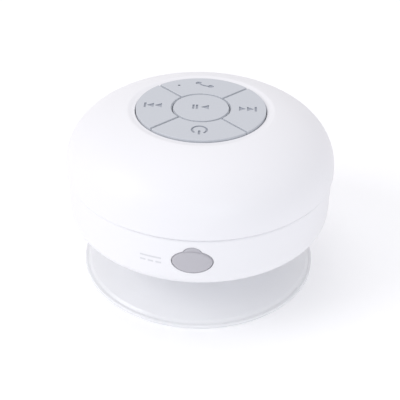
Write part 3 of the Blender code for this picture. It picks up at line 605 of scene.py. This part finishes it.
def skip_symbol(side):
    """A bar and two triangles that point towards it, on the side of the key that they skip to."""
    bar_half_height = 0.0015
    return [
        bar(side * 0.0026, STROKE_HALF_WIDTH, bar_half_height),
        triangle(side * 0.0021, -side * 0.0001, SYMBOL_HALF_HEIGHT),
        triangle(-side * 0.0004, -side * 0.0026, SYMBOL_HALF_HEIGHT),
    ]


def play_symbol():
    """Two bars for pause, and a triangle for play."""
    bars = [bar(centre, STROKE_HALF_WIDTH, SYMBOL_HALF_HEIGHT) for centre in (-0.0022, -0.0011)]
    return [*bars, triangle(0.0001, 0.0026, SYMBOL_HALF_HEIGHT)]


SYMBOLS = {
    "play": play_symbol(),
    "previous": skip_symbol(-1),
    "next": skip_symbol(1),
    "power": power_symbol(),
    "call": handset_symbol(),
}
SYMBOL_CENTRES = {
    "play": (-0.0002, 0.0002),
    "next": (OUTER_KEY_CENTRE, 0.0),
    "previous": (-0.0149, 0.0003),
    "power": (0.0002, -0.0142),
    "call": (0.0006, 0.0159),
}


def make_key(word, angle, finishes):
    """A key's cap on its flange and post, with its symbol sunk into the top; the recess is painted a darker
    grey as shade.
    """
    finish = finishes["key_silicone"]
    groove_z = PAD_TOP_Z - GROOVE_DEPTH
    flange_z = groove_z - KEY_FLANGE
    flange_inner = PLAY_KEY_RADIUS + GROOVE_WIDTH / 2 + GAP / 2
    if angle is None:
        cap_outline, flange_outline = circle_outline(PLAY_KEY_RADIUS), circle_outline(flange_inner - GAP)
    else:
        middle, cap_inner = math.radians(angle), PLAY_KEY_RADIUS + GROOVE_WIDTH
        cap_outline = key_outline(cap_inner, PAD_RADIUS, middle, GROOVE_WIDTH / 2, KEY_CORNER)
        flange_outline = key_outline(flange_inner, PAD_RADIUS, middle, GAP / 2, FLANGE_CORNER)
    overlap = 0.0005
    key = solid(f"{word}_key_cap", [prism(cap_outline, groove_z - overlap, PAD_TOP_Z)], finish)
    round_edges(key, KEY_EDGE)
    flange = solid("flange", [prism(flange_outline, flange_z, groove_z)], finish)
    stem = cylinder(KEY_POST_RADIUS, KEY_POST_END_Z, flange_z + GAP, at=key_centre(angle))
    combine(key, "UNION", flange, solid("post", [stem], finish))
    x, y = SYMBOL_CENTRES[word]
    low, high = PAD_TOP_Z - ICON_DEPTH, PAD_TOP_Z + OVERSHOOT
    symbol = [prism(outline, low, high, (x, y, 0)) for outline in SYMBOLS[word]]
    # The faces inside the symbol take the darker grey: painted shade in the recess.
    combine(key, "DIFFERENCE", solid("symbol", symbol, finishes["recess_shade"]))
    if word == "call":
        at = (MIC_CENTRE.x, MIC_CENTRE.y, 0)
        hole = cylinder(MIC_HOLE, flange_z - OVERSHOOT, PAD_TOP_Z + OVERSHOOT, SMALL, at)
        # The mic hole's wall takes the same darker grey: painted shade in the hole.
        combine(key, "DIFFERENCE", solid("mic_hole", [hole], finishes["recess_shade"]))
    shade(key, 40, weighted=True)
    place(key, f"{word}_button", "key_silicone", f"{word}_key")


# The charging plug


def oval_outline(half_width, half_height, steps):
    turns = [math.tau * step / steps for step in range(steps)]
    return [(half_width * math.cos(turn), half_height * math.sin(turn)) for turn in turns]


def plug_rings(steps=120):
    """The flap's sections from the middle of its back to the middle of its face. Each is an outline as
    seen from the front, and the radius at which it is laid on the round wall."""
    back, front = POCKET_RADIUS + GAP, PLUG_FACE_RADIUS
    ledge = front - TAB_STEP
    chamfer, rounding, rounding_middle, crown = 0.00012, 0.00018, 0.00005, 0.00003
    outline = plug_outline(0.0, steps)
    sections = [([(x * share, z * share) for x, z in outline], back) for share in (0.15, 0.5, 0.85)]
    for inset, radius in (
        (chamfer, back),
        (0.0, back + chamfer),
        (0.0, ledge - rounding),
        (rounding_middle, ledge - rounding_middle),
        (rounding, ledge),
    ):
        sections.append((plug_outline(-inset, steps), radius))
    wide, high = PLUG_HALF_WIDTH - FACE_INSET, PLUG_HALF_HEIGHT - FACE_INSET
    for inset, radius in (
        (0.0, ledge),
        (0.0, ledge + chamfer),
        (0.00008, front - 0.00022),
        (0.00022, front - 0.00009),
        (0.00045, front - crown),
    ):
        sections.append((oval_outline(wide - inset, high - inset, steps), radius))
    for share in (0.85, 0.6, 0.4, 0.2, 0.05):
        sections.append((oval_outline(wide * share, high * share, steps), front - crown * share))
    return sections


def wrapped_loft(sections):
    """Joins outlines laid on cylinders round the speaker's axis into one closed shape."""
    shape = bmesh.new()
    rings = []
    for outline, radius in sections:
        rings.append([shape.verts.new((x, -math.sqrt(radius**2 - x**2), PORT_Z + z)) for x, z in outline])
    count = len(rings[0])
    for low, high in zip(rings, rings[1:]):
        for corner in range(count):
            follows = (corner + 1) % count
            shape.faces.new((low[corner], low[follows], high[follows], high[corner]))
    shape.faces.new(rings[0][::-1])
    shape.faces.new(rings[-1])
    return shape


def make_plug(finish):
    """The rubber plug: an oval face on a flap with a pull tab, a nose, and a strand with an anchor."""
    plug = solid("charging_plug", [wrapped_loft(plug_rings())], finish)
    middle = (POCKET_RADIUS + PLUG_FACE_RADIUS) / 2
    nose = prism(stadium(NOSE_HALF_WIDTH, NOSE_HALF_HEIGHT), NOSE_END_Y, middle, (0, 0, PORT_Z), FRONT)
    low = (0.0, 0.0, PORT_Z - TETHER_OFFSET)
    strand = cylinder(TETHER_RADIUS, TETHER_END_Y + ANCHOR_LENGTH / 2, middle, SMALL, low, FRONT)
    thick = TETHER_END_Y + ANCHOR_LENGTH
    anchor = [(0, TETHER_END_Y), (ANCHOR_TIP_RADIUS, TETHER_END_Y), (ANCHOR_RADIUS, thick), (0, thick)]
    combine(plug, "UNION", solid("nose", [nose, strand], finish))
    combine(plug, "UNION", solid("anchor", [turned(anchor, SMALL, low, FRONT)], finish))
    shade(plug, 60)
    place(plug, "charging_plug", "plug_rubber", "port_plug")


def make_dc_mark(finish):
    """The direct-current sign beside the port: a line over three dashes, a hair proud of the wall."""
    proud, sunk = BASE_RADIUS + 0.00003, BASE_RADIUS - 0.0003
    azimuth, width, thick, piece = math.radians(-16.8), 0.0066, 0.00055, 0.0004
    line_z, dashes_z, dash = PORT_Z + 0.0002, PORT_Z - 0.0014, width * 0.26
    strokes = [(0.0, line_z, width)]
    strokes += [(side * (width - dash) / 2, dashes_z, dash) for side in (-1, 0, 1)]
    shapes = []
    for across, height, length in strokes:
        shape = bmesh.new()
        rings = []
        steps = max(2, round(length / piece))
        for step in range(steps + 1):
            angle = azimuth + (across + length * (step / steps - 0.5)) / BASE_RADIUS
            corners = ((sunk, -1), (proud, -1), (proud, 1), (sunk, 1))
            x, y = math.sin(angle), -math.cos(angle)
            ring = [shape.verts.new((r * x, r * y, height + side * thick / 2)) for r, side in corners]
            rings.append(ring)
        for low, high in zip(rings, rings[1:]):
            for corner in range(4):
                follows = (corner + 1) % 4
                shape.faces.new((low[corner], low[follows], high[follows], high[corner]))
        shape.faces.new(rings[0][::-1])
        shape.faces.new(rings[-1])
        shapes.append(shape)
    mark = solid("dc_mark", shapes, finish)
    shade(mark)
    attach(mark, "housing")


# The suction cup


def make_cup(finish):
    """A shallow soft cone with a rounded rim bead, a neck, and a stud that the screw holds."""
    bead_height, neck_radius, neck_end_z = 0.0012, 0.0089, CUP_TOP_Z - 0.0027
    stud_radius, bore_radius, bore_end_z = 0.0040, 0.0015, 0.0120
    profile = rounded(
        [
            (0.0, 0.0062, 0),
            (0.0080, 0.0060, 0.006),
            (0.0200, 0.0048, 0.020),
            (0.0300, 0.0026, 0.020),
            (0.0364, 0.0, 0.0006),
            (CUP_RADIUS, 0.0, 0.0004),
            (CUP_RADIUS, bead_height, 0.0004),
            (0.0379, bead_height, 0.0005),
            (0.0370, 0.0019, 0.0010),
            (0.0330, 0.0034, 0.018),
            (0.0240, 0.0066, 0.022),
            (0.0150, 0.0102, 0.010),
            (0.0100, 0.0128, 0.004),
            (neck_radius, 0.0150, 0.002),
            (neck_radius, neck_end_z, 0.0003),
            (stud_radius, neck_end_z, 0),
            (stud_radius, CUP_TOP_Z, 0.0003),
            (bore_radius, CUP_TOP_Z, 0),
            (bore_radius, bore_end_z, 0),
            (0.0, bore_end_z, 0),
        ],
        closed=False,
        steps=8,
    )
    cup = solid("cup", [turned(profile, VERY_FINE)], finish)
    shade(cup)
    place(cup, "suction_mount", "cup_silicone", "suction_cup")


# Screws, and the CAD pieces that stay as they are


def make_case_screws(finish):
    """The casing's screws, seen up their counterbores: rounded heads with a cross recess."""
    head_radius, head_height, shank_radius, tip_radius = 0.0023, 0.0018, 0.0011, 0.0004
    blade_half_width, blade_half_length, blade_depth = 0.00025, 0.0012, 0.0010
    for number, angle in enumerate(CASE_SCREW_ANGLES, 1):
        node = f"case_screw_{number}"
        low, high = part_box(node)
        head = rounded(
            [
                (0, low.z, 0),
                (head_radius, low.z, 0.0006),
                (head_radius, low.z + head_height, 0.0001),
                (shank_radius, low.z + head_height, 0),
                (shank_radius, high.z - 0.001, 0.0003),
                (tip_radius, high.z, 0),
                (0, high.z, 0),
            ],
            closed=False,
        )
        at = on_circle(CASE_SCREW_CIRCLE, angle)
        screw = solid(f"{node}_detail", [turned(head, at=at)], finish)
        for turn in (0, 90):
            spin = Matrix.Rotation(math.radians(turn), 4, "Z")
            outline = bar(0.0, blade_half_width, blade_half_length)
            blade = prism(outline, low.z - OVERSHOOT, low.z + blade_depth, at, spin)
            combine(screw, "DIFFERENCE", solid("blade", [blade], finish))
        shade(screw)
        place(screw, "housing", "plated_steel", node)


def dress_cad_nodes(finishes):
    """Gives each CAD node that still shows the material of its slot."""
    slots = {part["node"]: part["material_slot"] for part in frame["record"]["subparts"]}
    for name, obj in frame["nodes"].items():
        if obj.hide_render:
            continue
        obj.data.materials.clear()
        obj.data.materials.append(finishes[slots[name]])


# Stage


def make_floor():
    mesh = bpy.data.meshes.new("floor")
    reach = 4.0
    corners = [(-reach, -reach, 0), (reach, -reach, 0), (reach, reach, 0), (-reach, reach, 0)]
    mesh.from_pydata(corners, [], [(0, 1, 2, 3)])
    floor = bpy.data.objects.new("floor", mesh)
    floor.location.z = -0.00005
    bpy.context.scene.collection.objects.link(floor)
    finish = surface("floor_paper", (0.93, 0.93, 0.94), 0.9, 0.001, 0.000002, 0.004)
    finish.node_tree.nodes["Principled BSDF"].inputs["Emission Color"].default_value = (1, 1, 1, 1)
    finish.node_tree.nodes["Principled BSDF"].inputs["Emission Strength"].default_value = 0.13
    mesh.materials.append(finish)


def area_light(name, place_at, target, size, watts, colour=(1, 1, 1)):
    light = bpy.data.lights.new(name, "AREA")
    light.shape = "DISK"
    light.size = size
    light.energy = watts
    light.color = colour
    lamp = bpy.data.objects.new(name, light)
    lamp.location = place_at
    lamp.rotation_euler = (Vector(target) - Vector(place_at)).to_track_quat("-Z", "Y").to_euler()
    bpy.context.scene.collection.objects.link(lamp)


def make_lights():
    middle = (0.0, 0.0, 0.03)
    area_light("key_light", (-0.75, -0.25, 0.60), middle, 0.55, 2.35)
    area_light("top_light", (-0.10, 0.20, 0.95), middle, 0.80, 1.3)
    area_light("cool_fill", (0.22, -0.85, 0.42), middle, 0.30, 1.1, (0.80, 0.90, 1.0))
    world = bpy.data.worlds.new("studio")
    world.use_nodes = True
    world.node_tree.nodes["Background"].inputs["Color"].default_value = (0.985, 0.975, 1.0, 1.0)
    world.node_tree.nodes["Background"].inputs["Strength"].default_value = 0.74
    bpy.context.scene.world = world


def make_camera():
    azimuth, elevation, distance = math.radians(2.4), math.radians(37.74), 0.2994
    aim = Vector((0.00019, 0.0, 0.02197))
    roll = math.radians(1.06)
    camera = bpy.data.cameras.new("camera")
    camera.lens = 77.2
    camera.sensor_width = 36.0
    camera.clip_start = 0.01
    obj = bpy.data.objects.new("camera", camera)
    flat = distance * math.cos(elevation)
    obj.location = (flat * math.sin(azimuth), -flat * math.cos(azimuth), distance * math.sin(elevation))
    look = (aim - obj.location).to_track_quat("-Z", "Y").to_matrix().to_4x4()
    obj.rotation_euler = (look @ Matrix.Rotation(roll, 4, "Z")).to_euler()
    bpy.context.scene.collection.objects.link(obj)
    bpy.context.scene.camera = obj


def main():
    finishes = make_materials()
    make_dome(finishes["white_shell"])
    make_casing(finishes["white_shell"])
    for word, angle in KEY_ANGLES.items():
        make_key(word, angle, finishes)
    make_plug(finishes["plug_rubber"])
    make_dc_mark(finishes["mark"])
    make_cup(finishes["cup_silicone"])
    make_case_screws(finishes["plated_steel"])
    dress_cad_nodes(finishes)
    make_floor()
    make_lights()
    make_camera()
    bpy.context.scene.view_settings.view_transform = "Standard"


main()
